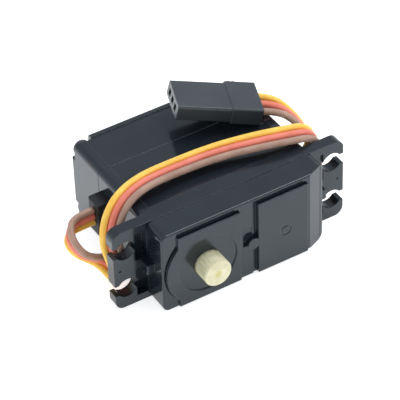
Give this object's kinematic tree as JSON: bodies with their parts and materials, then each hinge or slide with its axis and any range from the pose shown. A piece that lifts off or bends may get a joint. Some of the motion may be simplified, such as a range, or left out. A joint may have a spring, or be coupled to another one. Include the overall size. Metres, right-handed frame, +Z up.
{
  "type": "hobby servo motor",
  "caption": "Standard-size hobby servo motor in a ribbed plastic case with mounting lugs, a splined output shaft and a short flat lead ending in a plug.",
  "frame": {"origin": "centre of the case's footprint, on the surface that the servo lies on", "axes": "+X along the case, away from the output end; the output shaft points along -Y; +Z up"},
  "size_m": [0.0613, 0.0409, 0.0282],
  "materials": {
    "case_plastic": "moulded black, half gloss",
    "gear_plastic": "cream nylon",
    "brass": "turned",
    "steel": "ground",
    "screw_steel": "blackened",
    "can_steel": "nickel plated",
    "magnet": "sintered ferrite",
    "laminations": "stacked sheet",
    "copper": "enamelled wire",
    "inner_plastic": "moulded",
    "board": "solder mask",
    "component_black": "epoxy",
    "ceramic": "ceramic",
    "grommet_rubber": "moulded",
    "wire_brown": "soft vinyl",
    "wire_red": "soft vinyl",
    "wire_orange": "soft vinyl",
    "plug_plastic": "moulded",
    "contact_metal": "tinned"
  },
  "bodies": {
    "case": {"top_case": "case_plastic", "middle_case": "case_plastic", "bottom_cover": "case_plastic", "case_screws": "screw_steel", "output_bushing": "brass", "center_pin": "steel", "upper_pin": "steel", "motor_can": "can_steel", "motor_front_bearing": "brass", "motor_end_cap": "inner_plastic", "motor_magnets": "magnet", "motor_brushes": "copper", "motor_terminals": "contact_metal", "sensor_body": "inner_plastic", "sensor_terminals": "contact_metal", "circuit_board": "board", "control_chip": "component_black", "driver_transistors": "component_black", "board_capacitors": "ceramic", "resonator": "ceramic", "board_leads": "wire_red", "grommet": "grommet_rubber", "wire_brown": "wire_brown", "wire_red": "wire_red", "wire_orange": "wire_orange", "plug_housing": "plug_plastic", "plug_contacts": "contact_metal"},
    "output": {"output_gear": "gear_plastic", "sensor_shaft": "inner_plastic"},
    "third_gear": {"gear_3": "gear_plastic"},
    "second_gear": {"gear_2": "gear_plastic"},
    "first_gear": {"gear_1": "gear_plastic"},
    "rotor": {"motor_shaft": "steel", "motor_pinion": "brass", "motor_core": "laminations", "motor_windings": "copper", "commutator": "copper"}
  },
  "joints": [
    {"name": "motor_turn", "type": "hinge", "parent": "case", "child": "rotor", "pos_m": [0.00863, 0, 0.01], "axis": [0, 1, 0], "range_deg": [-15924.4, 15924.4]},
    {"name": "output_turn", "type": "hinge", "parent": "case", "child": "output", "pos_m": [-0.0093, 0, 0.0088], "axis": [0, 1, 0], "range_deg": [-90.2, 90.2]},
    {"name": "gear_3_turn", "type": "hinge", "parent": "case", "child": "third_gear", "pos_m": [0.00038, 0, 0.01], "axis": [0, 1, 0], "range_deg": [-229.6, 229.6]},
    {"name": "gear_2_turn", "type": "hinge", "parent": "case", "child": "second_gear", "pos_m": [0.00863, 0, 0.01], "axis": [0, 1, 0], "range_deg": [-780.5, 780.5]},
    {"name": "gear_1_turn", "type": "hinge", "parent": "case", "child": "first_gear", "pos_m": [0.00038, 0, 0.01], "axis": [0, 1, 0], "range_deg": [-3122, 3122]}
  ],
  "couplings": [
    {"joint": "output_turn", "follows": "motor_turn", "ratio": 0.0056517},
    {"joint": "gear_3_turn", "follows": "motor_turn", "ratio": -0.014386},
    {"joint": "gear_2_turn", "follows": "motor_turn", "ratio": 0.048913},
    {"joint": "gear_1_turn", "follows": "motor_turn", "ratio": -0.19565}
  ]
}
